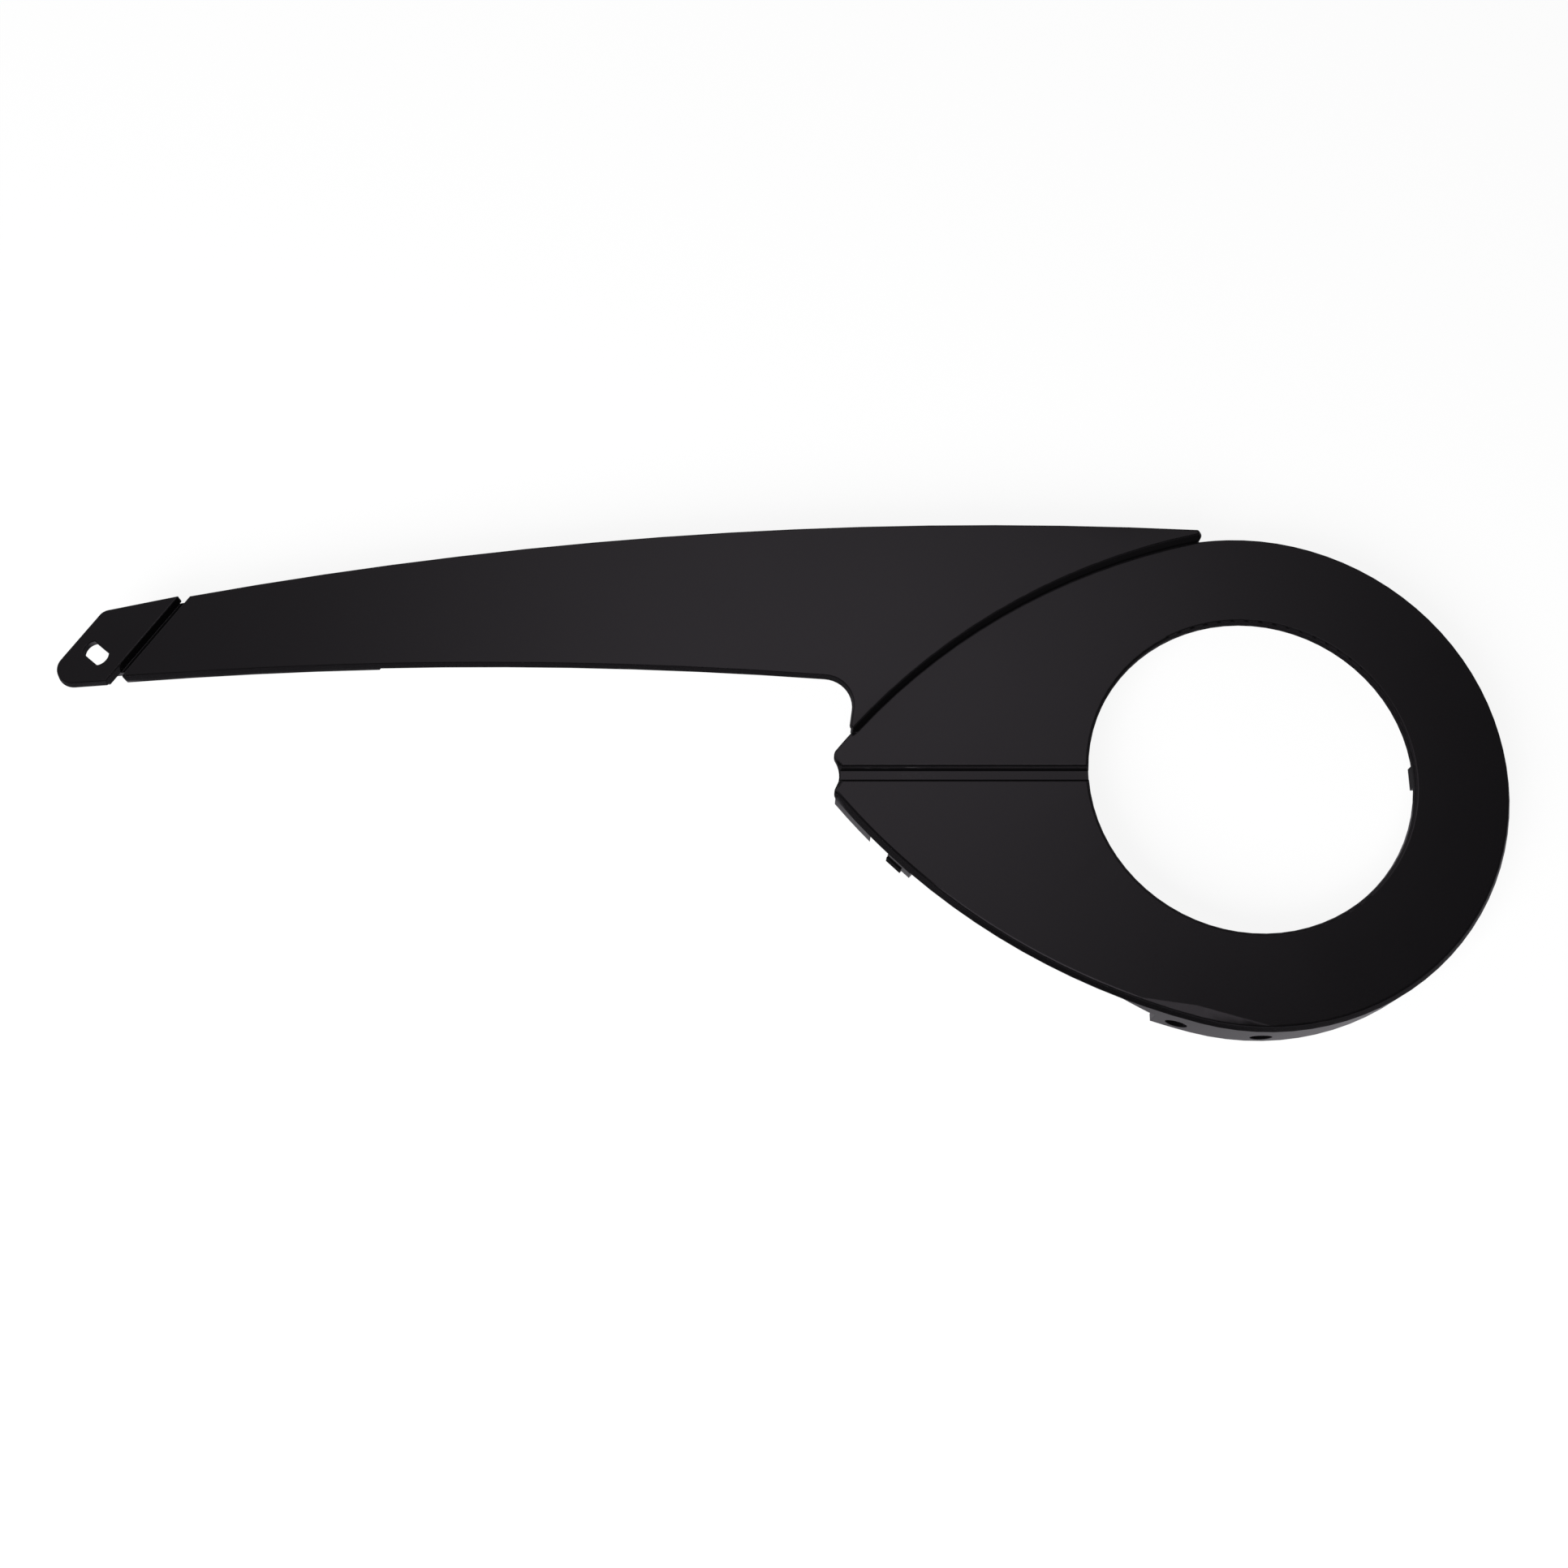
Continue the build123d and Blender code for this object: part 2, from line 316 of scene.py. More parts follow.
class RimRoll(SurfaceEffect):
    """Narrow roll of the face along the shield's lower rim, steeper by the nose."""

    name = "rim_roll"
    inputs = (
        ("Lean", "NodeSocketFloat", 0.1),
        ("Nose Lean", "NodeSocketFloat", 0.3),
    )
    outputs = (("Height", "NodeSocketFloat"),)
    rim_band = (-0.0022, -0.0016)
    nose_end = (-0.012, -0.004)
    steep_end = (-0.13, -0.112)

    def draw(self, sheet: NodeSheet, given: bpy.types.Node, result: bpy.types.Node) -> None:
        """Draw the drop of the roll below the face."""
        place = sheet.place("ShaderNodeTexCoord").outputs["Object"]
        axes = sheet.axes(place)
        width = self.rim_band[1] - self.rim_band[0]
        roll = sheet.ramp(sheet.past_rim(place), self.rim_band, (0.0, width), Blend.STRAIGHT)
        roll = sheet.work(Step.MULTIPLY, roll, sheet.ramp(axes["Y"], self.nose_end, (1.0, 0.0)))
        lean = sheet.ramp(axes["X"], self.steep_end, (given.outputs["Nose Lean"], given.outputs["Lean"]))
        sheet.feed(result.inputs["Height"], sheet.work(Step.MULTIPLY, roll, lean))


@dataclass(frozen=True)
class Patch:
    """Soft-edged oblong on the plan of the part.

    Attributes:
        along: Sideways places where it begins, is full, begins to fade and ends.
        across: Lengthways places of the same.
    """

    along: tuple[float, float, float, float]
    across: tuple[float, float, float, float]

    def mask(self, sheet: NodeSheet, place: bpy.types.NodeSocket) -> bpy.types.NodeSocket:
        """Mask that is 1 inside the patch and 0 outside it."""
        axes = sheet.axes(place)
        parts = []
        for axis, (begin, full, fade, close) in (("X", self.along), ("Y", self.across)):
            parts.append(sheet.ramp(axes[axis], (begin, full), (0.0, 1.0)))
            parts.append(sheet.ramp(axes[axis], (fade, close), (1.0, 0.0)))
        mask = parts[0]
        for part in parts[1:]:
            mask = sheet.work(Step.MULTIPLY, mask, part)
        return mask


class StripScuffs(SurfaceEffect):
    """Pale scuffs on the ledge of the shield's strip groove and specks on its floor."""

    name = "strip_scuffs"
    inputs = (
        ("Scuff Scale", "NodeSocketFloat", 1500.0),
        ("Speck Scale", "NodeSocketFloat", 2400.0),
    )
    outputs = (("Mask", "NodeSocketFloat"),)
    ledge = Patch(along=(-0.1425, -0.139, -0.12, -0.115), across=(0.0021, 0.0023, 0.0025, 0.0028))
    floor = Patch(along=(-0.131, -0.126, -0.119, -0.111), across=(-0.0017, -0.0012, 0.0006, 0.0012))
    streak = (0.14, 1.0, 1.0)
    scuff_limit = (0.44, 0.55)
    speck_limit = (0.57, 0.66)
    speck_share = 0.4
    noise_detail = 1.0

    def draw(self, sheet: NodeSheet, given: bpy.types.Node, result: bpy.types.Node) -> None:
        """Draw streaks on the ledge and faint specks on the floor."""
        place = sheet.place("ShaderNodeTexCoord").outputs["Object"]
        streaks = sheet.vector("MULTIPLY", place, self.streak).outputs["Vector"]
        scuffs = sheet.noise(streaks, given.outputs["Scuff Scale"], self.noise_detail)
        scuffs = sheet.ramp(scuffs, self.scuff_limit, (0.0, 1.0))
        specks = sheet.noise(place, given.outputs["Speck Scale"], self.noise_detail)
        specks = sheet.ramp(specks, self.speck_limit, (0.0, self.speck_share))
        on_ledge = sheet.work(Step.MULTIPLY, scuffs, self.ledge.mask(sheet, place))
        on_floor = sheet.work(Step.MULTIPLY, specks, self.floor.mask(sheet, place))
        sheet.feed(result.inputs["Mask"], sheet.work(Step.LARGER, on_ledge, on_floor))


@dataclass(frozen=True)
class PlasticEffects:
    """Shader groups that the finishes of the plastic share.

    Attributes:
        grain: Grain and clouds of the plastic.
        roll: Narrow roll along the lower rim.
        scuffs: Scuffs and specks in the strip groove.
    """

    grain: MouldGrain
    roll: RimRoll
    scuffs: StripScuffs


@dataclass(frozen=True)
class MouldedBlack:
    """Black moulded polypropylene, smooth on the show side and duller behind.

    Attributes:
        name: Name of the material.
        dark: Colour in the dark clouds of the plastic.
        light: Colour in the light clouds.
        smoothest: Lowest roughness.
        roughest: Highest roughness.
        grain_scale: Grains to the metre.
        grain_depth: Depth of the grain in metres.
        detail: Marks besides the grain.
        edge_roll: Radius over which its edges look rolled, in metres.
        gloss: Strength of the plastic's gloss, 0.5 where nothing dulls it.
        gloss_tint: Colour of the plastic's gloss.
        scuffed: Colour of scuffed plastic.
    """

    name: str
    dark: Colour
    light: Colour
    smoothest: float
    roughest: float
    grain_scale: float
    grain_depth: float
    detail: Detail = Detail.NONE
    edge_roll: float = 0.0
    gloss: float = 0.5
    gloss_tint: Colour = (0.99, 0.895, 1.0)
    scuffed: Colour = (0.022, 0.0213, 0.0225)

    def material(self, effects: PlasticEffects) -> bpy.types.Material:
        """Build the material.

        Args:
            effects: Shared shader groups.

        Returns:
            The finished material.
        """
        made = bpy.data.materials.new(self.name)
        made.use_nodes = True
        sheet = NodeSheet(made.node_tree)
        mould = effects.grain.use(
            sheet, Grain_Scale=self.grain_scale, Smoothest=self.smoothest, Roughest=self.roughest
        )
        colour = self.mix(
            sheet, mould.outputs["Cloud"], straight_colour(self.dark), straight_colour(self.light)
        )
        bump = sheet.place("ShaderNodeBump")
        bump.inputs["Strength"].default_value = 1.0
        bump.inputs["Distance"].default_value = self.grain_depth
        sheet.feed(bump.inputs["Height"], mould.outputs["Height"])
        if self.edge_roll:
            roll = sheet.place("ShaderNodeBevel", samples=ROLL_SAMPLES)
            roll.inputs["Radius"].default_value = self.edge_roll
            sheet.feed(bump.inputs["Normal"], roll.outputs["Normal"])
        if self.detail is Detail.ROLL:
            bump = self.lean(sheet, effects.roll, bump)
        if self.detail is Detail.SCUFFS:
            mask = effects.scuffs.use(sheet).outputs["Mask"]
            colour = self.mix(sheet, mask, colour, straight_colour(self.scuffed))
        plastic = sheet.place("ShaderNodeBsdfPrincipled")
        plastic.inputs["Specular IOR Level"].default_value = self.gloss
        plastic.inputs["Specular Tint"].default_value = straight_colour(self.gloss_tint)
        sheet.feed(plastic.inputs["Base Color"], colour)
        sheet.feed(plastic.inputs["Roughness"], mould.outputs["Roughness"])
        sheet.feed(plastic.inputs["Normal"], bump.outputs["Normal"])
        end = sheet.place("ShaderNodeOutputMaterial")
        sheet.feed(end.inputs["Surface"], plastic.outputs["BSDF"])
        return made

    def mix(
        self,
        sheet: NodeSheet,
        share: bpy.types.NodeSocket,
        first: object,
        second: object,
    ) -> bpy.types.NodeSocket:
        """Colour between two colours.

        Args:
            sheet: Node sheet of the material.
            share: Output socket with the share of the second colour.
            first: Output socket or colour.
            second: Output socket or colour.

        Returns:
            Output socket with the colour.
        """
        node = sheet.place("ShaderNodeMix", data_type="RGBA")
        sheet.feed(node.inputs["Factor"], share)
        sheet.feed(node.inputs["A"], first)
        sheet.feed(node.inputs["B"], second)
        return node.outputs["Result"]

    def lean(self, sheet: NodeSheet, roll: RimRoll, grain: bpy.types.Node) -> bpy.types.Node:
        """Bump of the rim's roll laid over the bump of the grain.

        Args:
            sheet: Node sheet of the material.
            roll: Roll along the lower rim.
            grain: Bump node of the grain.

        Returns:
            Bump node of both.
        """
        bump = sheet.place("ShaderNodeBump", invert=True)
        bump.inputs["Strength"].default_value = 1.0
        bump.inputs["Distance"].default_value = 1.0
        sheet.feed(bump.inputs["Height"], roll.use(sheet).outputs["Height"])
        sheet.feed(bump.inputs["Normal"], grain.outputs["Normal"])
        return bump


FACE_FINISH = MouldedBlack(
    name="black_satin_face",
    dark=(0.0016, 0.0015, 0.0017),
    light=(0.0022, 0.0021, 0.0023),
    smoothest=0.16,
    roughest=0.23,
    grain_scale=2600.0,
    grain_depth=0.000002,
    detail=Detail.ROLL,
    edge_roll=0.0006,
)
EDGE_FINISH = replace(FACE_FINISH, name="black_satin_edge", detail=Detail.NONE)
CRISP_FINISH = replace(FACE_FINISH, name="black_satin_crisp", detail=Detail.SCUFFS, edge_roll=0.0)
# Painted shade: the nib takes a matt copy of the plastic with almost no gloss, so it renders dark.
NIB_SHADE_FINISH = replace(
    FACE_FINISH,
    name="black_nib_painted_shade",
    smoothest=0.5,
    roughest=0.65,
    grain_scale=2200.0,
    grain_depth=0.00001,
    detail=Detail.NONE,
    edge_roll=0.0,
    gloss=0.02,
)
BACK_FINISH = MouldedBlack(
    name="black_dull_back",
    dark=(0.004, 0.0038, 0.0041),
    light=(0.0065, 0.0062, 0.0067),
    smoothest=0.45,
    roughest=0.6,
    grain_scale=1700.0,
    grain_depth=0.00001,
)


@dataclass
class GuardShell:
    """The guard's one moulded shell, with soft shading over its rolled edges.

    Attributes:
        node: CAD node that the shell stands for.
        name: Name of the finished piece.
        slot: Material slot of the record, not used.
        weld: Distance within which corners are one corner, in metres.
        smooth_angle: Turn between faces that still shade as one curve, in degrees.
        lands: Heights of the flat lands at the foot of the bevelled edges.
        strip_low: Lowest corner of the strip groove.
        strip_high: Highest corner of the strip groove.
        land_slack: Distance within which a corner is on a land, a ledge or an edge.
        hole_radius: Radius of the crank hole.
        hole_slack: Distance from that radius within which a face is on the hole's wall.
        nib_low: Lowest corner of a box about the flank clip's nib.
        nib_high: Highest corner of that box.
        nib_gap: How far past the flank's arc a face of the nib lies at least.
        nib_top: Height of the nib's ledge in the solid.
        nib_rise: How much higher the finished ledge lies.
        nose_front: Sideways place up to which the nose's edge is levelled.
        nose_start: Lengthways places where the levelling begins and is full.
        nose_drop: Share of the bevel's drop that is left round the nose.
        strip_foot: Height of the bevel's foot at the end of the strip groove.
        bevel_span: Heights of the shield's bevel from its foot to its top.
        facet_start: Point where the two upper edges of the rim's facet meet.
        facet_ways: Directions in which the facet falls from each of those edges.
        facet_lean: Drop of the facet for each metre.
        facet_low: Lowest corner of a box about the facet.
        facet_high: Highest corner of that box.
        facet_floor: Height above which corners drop with the facet.
        face_limit: Upward part of a face's normal above which it is on the show face.
        back_limit: Upward part of a face's normal below which it is on the back.
    """

    node: str = "chain_guard"
    name: str = "guard_shell"
    slot: str = "black_plastic"
    weld: float = 0.002 * MILLIMETRE
    smooth_angle: float = 45.0
    lands: Pair = (0.0002, 0.0048)
    strip_low: Point = (-0.157, -0.0035, 0.0013)
    strip_high: Point = (-0.058, 0.0035, 0.0033)
    land_slack: float = 0.02 * MILLIMETRE
    hole_radius: float = 0.0596
    hole_slack: float = 0.5 * MILLIMETRE
    nib_low: Point = (-0.138, -0.04, -0.0086)
    nib_high: Point = (-0.122, -0.024, -0.003)
    nib_gap: float = 0.12 * MILLIMETRE
    nib_top: float = -0.0055
    nib_rise: float = 0.0019
    nose_front: float = -0.1425
    nose_start: Pair = (-0.009, -0.0072)
    nose_drop: float = 0.03
    strip_foot: float = 0.00125
    bevel_span: Pair = (0.00015, 0.0032)
    facet_start: Point = (-0.0257, -0.0857, 0.0)
    facet_ways: tuple[Point, ...] = ((-0.144, -1.0, 0.0), (-0.287, -1.0, 0.0))
    facet_lean: float = 0.1
    facet_low: Point = (-0.075, -0.1, 0.00015)
    facet_high: Point = (0.02, -0.05, 0.0033)
    facet_floor: float = 0.0029
    face_limit: float = 0.999
    back_limit: float = -0.5

    def build(self) -> bpy.types.Object:
        """Copy the solid's mesh, weld it, finish its edges and shade it smoothly.

        Returns:
            The finished shell.
        """
        bpy.ops.object.select_all(action="DESELECT")
        shell = bpy.data.objects.new(self.name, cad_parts[self.node].data.copy())
        bpy.context.scene.collection.objects.link(shell)
        bpy.context.view_layer.objects.active = shell
        shell.select_set(True)
        bpy.ops.mesh.customdata_custom_splitnormals_clear()
        bpy.ops.object.mode_set(mode="EDIT")
        bpy.ops.mesh.select_all(action="SELECT")
        bpy.ops.mesh.remove_doubles(threshold=self.weld)
        bpy.ops.object.mode_set(mode="OBJECT")
        self.raise_nib(shell)
        self.level_nose(shell)
        self.cut_facet(shell)
        bpy.ops.object.shade_smooth_by_angle(
            angle=math.radians(self.smooth_angle), keep_sharp_edges=False
        )
        self.crease(shell)
        weighted = shell.modifiers.new("weighted_normals", "WEIGHTED_NORMAL")
        weighted.keep_sharp = True
        bpy.ops.object.modifier_apply(modifier=weighted.name)
        shell.select_set(False)
        return shell

    def raise_nib(self, shell: bpy.types.Object) -> None:
        """Lift the ledge of the flank clip's nib to its finished height."""
        bpy.ops.object.mode_set(mode="EDIT")
        bpy.ops.mesh.select_mode(type="VERT")
        bpy.ops.mesh.select_all(action="DESELECT")
        bpy.ops.object.mode_set(mode="OBJECT")
        for corner in shell.data.vertices:
            on_ledge = abs(corner.co.z - self.nib_top) < self.land_slack
            corner.select = on_ledge and self.in_box(corner.co, self.nib_low, self.nib_high)
        log.info("%d corners of the nib's ledge", sum(corner.select for corner in shell.data.vertices))
        bpy.ops.object.mode_set(mode="EDIT")
        bpy.ops.transform.translate(value=(0.0, 0.0, self.nib_rise))
        bpy.ops.object.mode_set(mode="OBJECT")

    def level_nose(self, shell: bpy.types.Object) -> None:
        """Level the bevel round the nose, where the edge of the plate is only rolled."""
        start, full = self.nose_start
        foot, top = self.bevel_span
        for corner in shell.data.vertices:
            place = corner.co
            if place.x > self.nose_front or place.y < start or not foot <= place.z <= top:
                continue
            if abs(place.y) < self.strip_high[1]:
                height = self.strip_foot if place.z < self.strip_foot else place.z
            else:
                height = top - self.nose_drop * (top - place.z)
            place.z += min(1.0, (place.y - start) / (full - start)) * (height - place.z)

    def cut_facet(self, shell: bpy.types.Object) -> None:
        """Cut the shallow facet into the face along the lower rim, where the flank runs into the disc."""
        for way in self.facet_ways:
            for face in shell.data.polygons:
                face.select = self.in_box(face.center, self.facet_low, self.facet_high) and face.normal.z > 0
            bpy.ops.object.mode_set(mode="EDIT")
            bpy.ops.mesh.select_mode(type="FACE")
            bpy.ops.mesh.bisect(plane_co=self.facet_start, plane_no=Vector(way).normalized())
            bpy.ops.object.mode_set(mode="OBJECT")
        for corner in shell.data.vertices:
            if self.in_box(corner.co, self.facet_low, self.facet_high) and corner.co.z > self.facet_floor:
                corner.co.z -= self.facet_lean * max(0.0, self.past_facet(corner.co))

    def past_facet(self, place: Vector) -> float:
        """How far a place lies past both of the facet's upper edges in plan."""
        from_start = place - Vector(self.facet_start)
        return min(from_start.dot(Vector(way).normalized()) for way in self.facet_ways)

    def on_facet_edge(self, place: Vector) -> bool:
        """Whether a corner lies on an upper edge of the facet."""
        at_edge = abs(self.past_facet(place)) < self.land_slack
        return at_edge and place.z > self.facet_floor and self.in_box(place, self.facet_low, self.facet_high)

    def crease(self, shell: bpy.types.Object) -> None:
        """Keep the feet of the bevels, the edges of the strip groove and the edges of the facet crisp."""
        corners = shell.data.vertices
        for edge in shell.data.edges:
            ends = [corners[index].co for index in edge.vertices]
            in_strip = all(self.in_box(end, self.strip_low, self.strip_high) for end in ends)
            on_facet = all(self.on_facet_edge(end) for end in ends)
            if in_strip or on_facet or all(self.on_land(end) for end in ends):
                edge.use_edge_sharp = True

    def on_land(self, corner: Vector) -> bool:
        """Whether a corner lies at the height of a land."""
        return any(abs(corner.z - land) < self.land_slack for land in self.lands)

    def in_box(self, place: Vector, low: Point, high: Point) -> bool:
        """Whether a place lies between two corners."""
        return all(least <= value <= most for least, value, most in zip(low, place, high))

    def past_flank(self, place: Vector) -> float:
        """How far a place lies outside the arc of the lower flank in plan."""
        return (place.xy - Vector(FLANK_CENTRE).xy).length - FLANK_RADIUS

    def dress(self, shell: bpy.types.Object, finishes: dict[Side, bpy.types.Material]) -> None:
        """Give each side of the shell its finish.

        Args:
            shell: The shell.
            finishes: Material of each side.
        """
        shell.data.materials.clear()
        for side in Side:
            shell.data.materials.append(finishes[side])
        for face in shell.data.polygons:
            face.material_index = self.side_of(face).value

    def side_of(self, face: bpy.types.MeshPolygon) -> Side:
        """Side of the moulding that a face is on, by its place and the upward part of its normal."""
        if face.normal.z < self.back_limit:
            return Side.BACK
        in_hole = abs(face.center.xy.length - self.hole_radius) < self.hole_slack
        if in_hole or self.in_box(face.center, self.strip_low, self.strip_high):
            return Side.CRISP
        by_nib = self.in_box(face.center, self.nib_low, self.nib_high)
        if by_nib and self.past_flank(face.center) > self.nib_gap:
            return Side.NIB
        return Side.FACE if face.normal.z > self.face_limit else Side.EDGE

    def place(self, shell: bpy.types.Object) -> None:
        """Seat the shell on its body in the node's stead."""
        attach(shell, "root")
        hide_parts(self.node)


@dataclass(frozen=True)
class FloorSpot:
    """Round patch of the floor that gloss sees brighter.

    Attributes:
        middle: Middle of the patch.
        fade: Distances from the middle where it begins and ends to fade.
        glow: Brightness of the patch.
    """

    middle: Point
    fade: Pair
    glow: float


TAB_SPOT = FloorSpot(middle=(-0.434, 0.028, 0.0), fade=(0.01, 0.022), glow=0.55)


@dataclass
class StudioFloor:
    """Pale floor that reads white to the camera and keeps a faint shadow.

    Attributes:
        reach: Half the floor's width in metres.
        colour: Colour of the floor.
        glow_share: Part of the floor's look that is plain white to the camera.
        glow_colour: Colour of the floor as gloss sees it.
        rim_glow: Brightness that gloss sees on the floor close to the shield's rim.
        far_glow: Brightness that gloss sees further off.
        flank_glow: Brightness that gloss sees further off the lower flank.
        flank_rear: Sideways places between which that begins.
        flank_front: Sideways places between which that ends.
        rim_fade: Distances from the rim where its glow begins and ends to fade.
        nose_fade: Lengthways places between which the rim's glow ends by the nose.
        spots: Further patches of the floor that gloss sees brighter.
        surround: Axis, span and brightness of the floor's outer parts on each side.
    """

    reach: float = 12.0
    colour: Colour = (0.95, 0.95, 0.95)
    glow_share: float = 0.9
    glow_colour: Colour = (0.97, 0.94, 1.0)
    rim_glow: float = 0.34
    far_glow: float = 0.11
    flank_glow: float = 0.035
    flank_rear: Pair = (-0.14, -0.118)
    flank_front: Pair = (-0.03, 0.02)
    rim_fade: Pair = (0.006, 0.024)
    nose_fade: Pair = (-0.009, -0.001)
    spots: tuple[FloorSpot, ...] = (TAB_SPOT,)
    surround: tuple[tuple[str, Pair, Pair], ...] = (
        ("Y", (0.1, 0.115), (0.0, 0.5)),
        ("Y", (-0.2, -0.135), (0.4, 0.0)),
        ("X", (0.125, 0.165), (0.0, 0.5)),
        ("X", (-0.51, -0.47), (0.5, 0.0)),
    )

    def build(self) -> bpy.types.Object:
        """Lay the floor under the part.

        Returns:
            The floor.
        """
        bpy.ops.object.select_all(action="DESELECT")
        bpy.ops.mesh.primitive_plane_add(size=2 * self.reach, location=(0.0, 0.0, cad_low.z))
        floor = bpy.context.object
        floor.name = "studio_floor"
        floor.data.materials.append(self.material())
        floor.select_set(False)
        return floor

    def glow(self, sheet: NodeSheet) -> bpy.types.NodeSocket:
        """Brightness of the floor as gloss sees it."""
        place = sheet.place("ShaderNodeTexCoord").outputs["Object"]
        axes = sheet.axes(place)
        far = sheet.work(
            Step.LARGER,
            sheet.ramp(axes["X"], self.flank_rear, (self.far_glow, self.flank_glow)),
            sheet.ramp(axes["X"], self.flank_front, (self.flank_glow, self.far_glow)),
        )
        by_rim = sheet.ramp(sheet.past_rim(place), self.rim_fade, (self.rim_glow, far))
        glow = sheet.ramp(axes["Y"], self.nose_fade, (by_rim, self.far_glow))
        for spot in self.spots:
            level = sheet.ramp(sheet.distance(place, spot.middle), spot.fade, (spot.glow, 0.0))
            glow = sheet.work(Step.LARGER, glow, level)
        for axis, span, levels in self.surround:
            glow = sheet.work(Step.LARGER, glow, sheet.ramp(axes[axis], span, levels))
        return glow

    def material(self) -> bpy.types.Material:
        """Floor material that answers camera and gloss rays in its own way."""
        made = bpy.data.materials.new("pale_floor")
        made.use_nodes = True
        sheet = NodeSheet(made.node_tree)
        path = sheet.place("ShaderNodeLightPath")
        glossy = path.outputs[Ray.GLOSSY.value]
        through = sheet.work(
            Step.LARGER, path.outputs[Ray.CAMERA.value], path.outputs[Ray.TRANSMISSION.value]
        )
        white = sheet.place("ShaderNodeEmission")
        sheet.feed(
            white.inputs["Strength"],
            sheet.work(Step.LARGER, through, sheet.work(Step.MULTIPLY, glossy, self.glow(sheet))),
        )
        tint = sheet.place("ShaderNodeMix", data_type="RGBA")
        sheet.feed(tint.inputs["Factor"], glossy)
        tint.inputs["A"].default_value = straight_colour(WHITE)
        tint.inputs["B"].default_value = straight_colour(self.glow_colour)
        sheet.feed(white.inputs["Color"], tint.outputs["Result"])
        cover = sheet.work(Step.LARGER, sheet.work(Step.MULTIPLY, through, self.glow_share), glossy)
        paint = sheet.place("ShaderNodeBsdfDiffuse")
        paint.inputs["Color"].default_value = straight_colour(self.colour)
        blend = sheet.place("ShaderNodeMixShader")
        sheet.feed(blend.inputs["Fac"], cover)
        sheet.feed(blend.inputs[1], paint.outputs["BSDF"])
        sheet.feed(blend.inputs[2], white.outputs["Emission"])
        end = sheet.place("ShaderNodeOutputMaterial")
        sheet.feed(end.inputs["Surface"], blend.outputs["Shader"])
        return made


@dataclass(frozen=True)
class SkyPanel:
    """Soft oval panel of light overhead, laid out on the plan of directions.

    Attributes:
        middle: Sideways and lengthways parts of the direction to its middle.
        half_size: Half length and half width of the oval in the same measure.
        core: Share of the oval that is evenly bright.
        strength: Brightness of its middle.
        turn: Turn of the oval's length from the sideways direction, in degrees.
    """

    middle: Pair
    half_size: Pair
    core: float
    strength: float
    turn: float = 0.0

    def level(self, sheet: NodeSheet, look: bpy.types.NodeSocket) -> bpy.types.NodeSocket:
        """Brightness that the panel adds in each direction."""
        along = (math.cos(math.radians(self.turn)), math.sin(math.radians(self.turn)), 0.0)
        across = (-along[1], along[0], 0.0)
        shares = []
        for way, half in zip((along, across), self.half_size):
            share = sheet.work(Step.MULTIPLY, sheet.depth(look, (*self.middle, 0.0), way), 1.0 / half)
            shares.append(sheet.work(Step.MULTIPLY, share, share))
        from_middle = sheet.work(Step.POWER, sheet.work(Step.ADD, *shares), SQUARE_ROOT)
        return sheet.ramp(from_middle, (self.core, 1.0), (self.strength, 0.0))


@dataclass(frozen=True)
class StudioSky:
    """Dim surround with a glow low down and soft panels overhead.

    Attributes:
        panels: Soft panels.
        sides: Brightness of the surround on the rear side and on the front side.
        side_span: Sideways parts of the directions between which it changes.
        below: Share of the surround that is left towards the part's lower edge.
        below_span: Lengthways parts of the directions between which it changes.
        horizon: Brightness added low down, towards the part's lower edge and towards its upper edge.
        horizon_height: Upward parts of the directions between which that ends.
    """

    panels: tuple[SkyPanel, ...]
    sides: Pair = (0.216, 0.1)
    side_span: Pair = (-0.25, 0.35)
    below: float = 0.12
    below_span: Pair = (-0.2, 0.15)
    horizon: Pair = (0.2, 0.3)
    horizon_height: Pair = (0.32, 0.48)

    def build(self) -> bpy.types.World:
        """Make the world and give it to the scene.

        Returns:
            The world.
        """
        world = bpy.data.worlds.new("studio_sky")
        world.use_nodes = True
        sheet = NodeSheet(world.node_tree)
        look = sheet.place("ShaderNodeTexCoord").outputs["Generated"]
        axes = sheet.axes(look)
        level = sheet.work(
            Step.MULTIPLY,
            sheet.ramp(axes["X"], self.side_span, self.sides),
            sheet.ramp(axes["Y"], self.below_span, (self.below, 1.0)),
        )
        low_down = sheet.work(
            Step.MULTIPLY,
            sheet.ramp(axes["Y"], self.below_span, self.horizon),
            sheet.ramp(axes["Z"], self.horizon_height, (1.0, 0.0)),
        )
        level = sheet.work(Step.ADD, level, low_down)
        for panel in self.panels:
            level = sheet.work(Step.ADD, level, panel.level(sheet, look))
        path = sheet.place("ShaderNodeLightPath")
        level = sheet.work(Step.LARGER, level, path.outputs[Ray.CAMERA.value])
        light = sheet.place("ShaderNodeBackground")
        light.inputs["Color"].default_value = straight_colour(WHITE)
        sheet.feed(light.inputs["Strength"], level)
        end = sheet.place("ShaderNodeOutputWorld")
        sheet.feed(end.inputs["Surface"], light.outputs["Background"])
        bpy.context.scene.world = world
        return world


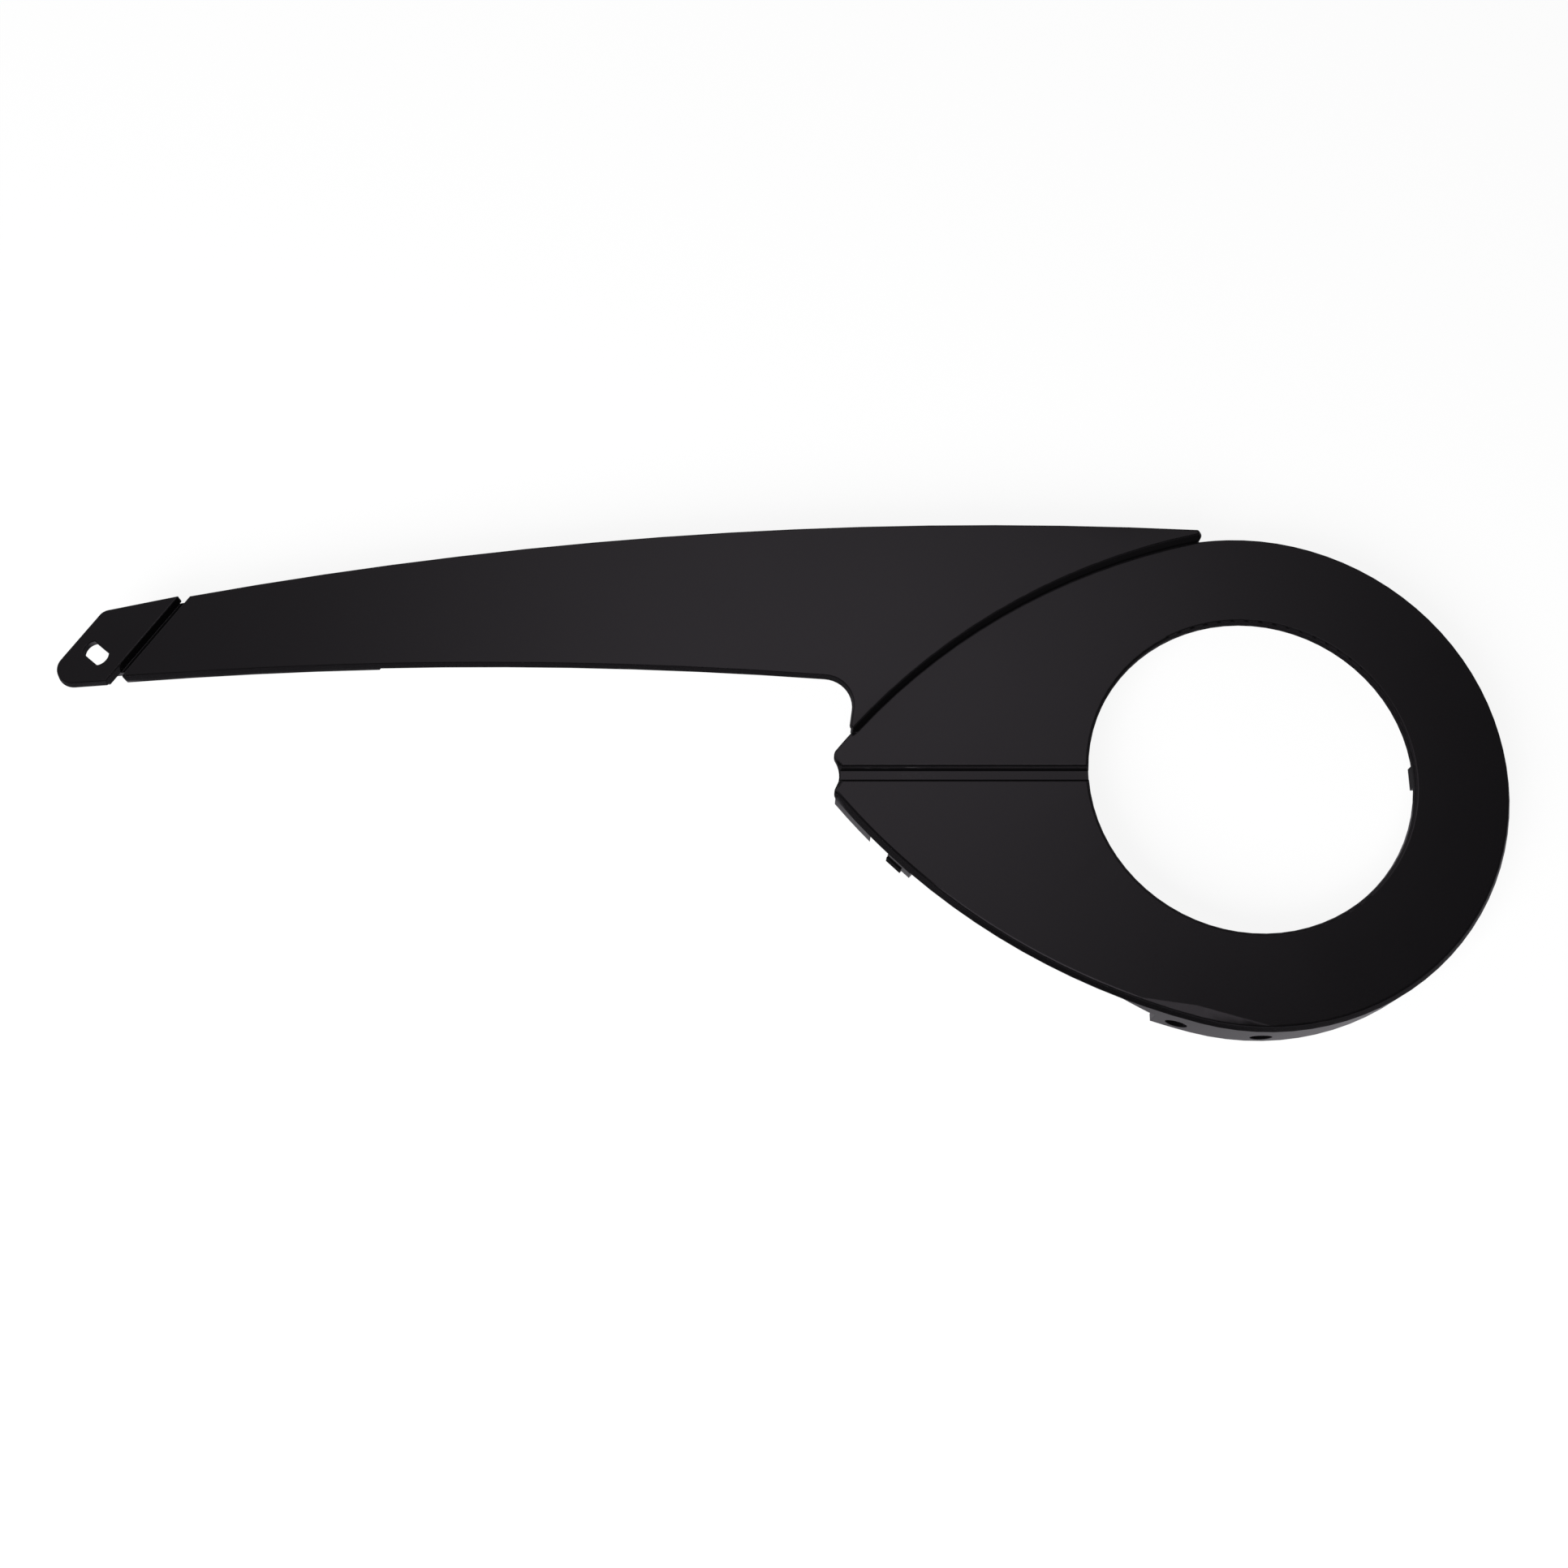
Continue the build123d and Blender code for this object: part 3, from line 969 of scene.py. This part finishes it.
@dataclass(frozen=True)
class StudioLamp:
    """Square soft lamp aimed at the part.

    Attributes:
        name: Name of the lamp.
        place: Where it stands, in metres.
        aim: Point that it faces.
        width: Side of its square in metres.
        power: Power in watts.
    """

    name: str
    place: Point
    aim: Point
    width: float
    power: float

    def build(self) -> bpy.types.Object:
        """Set the lamp up.

        Returns:
            The lamp.
        """
        data = bpy.data.lights.new(self.name, "AREA")
        data.size = self.width
        data.energy = self.power
        lamp = bpy.data.objects.new(self.name, data)
        bpy.context.scene.collection.objects.link(lamp)
        lamp.location = self.place
        lamp.rotation_euler = (Vector(self.aim) - Vector(self.place)).to_track_quat("-Z", "Y").to_euler()
        lamp.visible_glossy = False
        return lamp


@dataclass(frozen=True)
class PhotoCamera:
    """Camera at the photograph's viewing angle.

    Attributes:
        place: Where it stands, in metres.
        tilt: Lean away from straight down, in degrees.
        focal_pixels: Focal length in pixels of the picture.
        picture_pixels: Width of the square picture in pixels.
        sensor: Width of the sensor in millimetres.
        nearest: Distance in metres from which it sees.
    """

    place: Point = (-0.1713, -0.21175, 0.6622)
    tilt: float = 17.5
    focal_pixels: float = 2330.0
    picture_pixels: float = 1932.0
    sensor: float = 36.0
    nearest: float = 0.01

    def build(self) -> bpy.types.Object:
        """Set the camera up and give it to the scene.

        Returns:
            The camera.
        """
        data = bpy.data.cameras.new("photo_camera")
        data.sensor_width = self.sensor
        data.lens = self.sensor * self.focal_pixels / self.picture_pixels
        data.clip_start = self.nearest
        camera = bpy.data.objects.new("photo_camera", data)
        bpy.context.scene.collection.objects.link(camera)
        camera.location = self.place
        camera.rotation_euler = (math.radians(self.tilt), 0.0, 0.0)
        bpy.context.scene.camera = camera
        return camera


SKY = StudioSky(
    panels=(
        SkyPanel(middle=(0.03, 0.355), half_size=(0.35, 0.26), core=0.15, strength=0.56),
        SkyPanel(middle=(0.07, 0.033), half_size=(0.19, 0.085), core=0.6, strength=1.64, turn=-24.0),
    ),
)
KEY_LAMP = StudioLamp(
    name="key_lamp", place=(-0.75, -0.95, 0.95), aim=(-0.15, 0.0, 0.0), width=1.0, power=41.0
)


def main() -> None:
    """Build the dressed guard and its studio."""
    logging.basicConfig(level=logging.INFO, format="%(message)s")
    bpy.context.scene.view_settings.view_transform = "Standard"
    effects = PlasticEffects(grain=MouldGrain(), roll=RimRoll(), scuffs=StripScuffs())
    finishes = {
        Side.FACE: FACE_FINISH,
        Side.EDGE: EDGE_FINISH,
        Side.CRISP: CRISP_FINISH,
        Side.NIB: NIB_SHADE_FINISH,
        Side.BACK: BACK_FINISH,
    }
    guard = GuardShell()
    shell = guard.build()
    guard.dress(shell, {side: finish.material(effects) for side, finish in finishes.items()})
    guard.place(shell)
    log.info("%s: %d faces", shell.name, len(shell.data.polygons))
    for piece in (StudioFloor(), KEY_LAMP, PhotoCamera()):
        log.info("%s in place", piece.build().name)
    SKY.build()


if __name__ == "__main__":
    main()
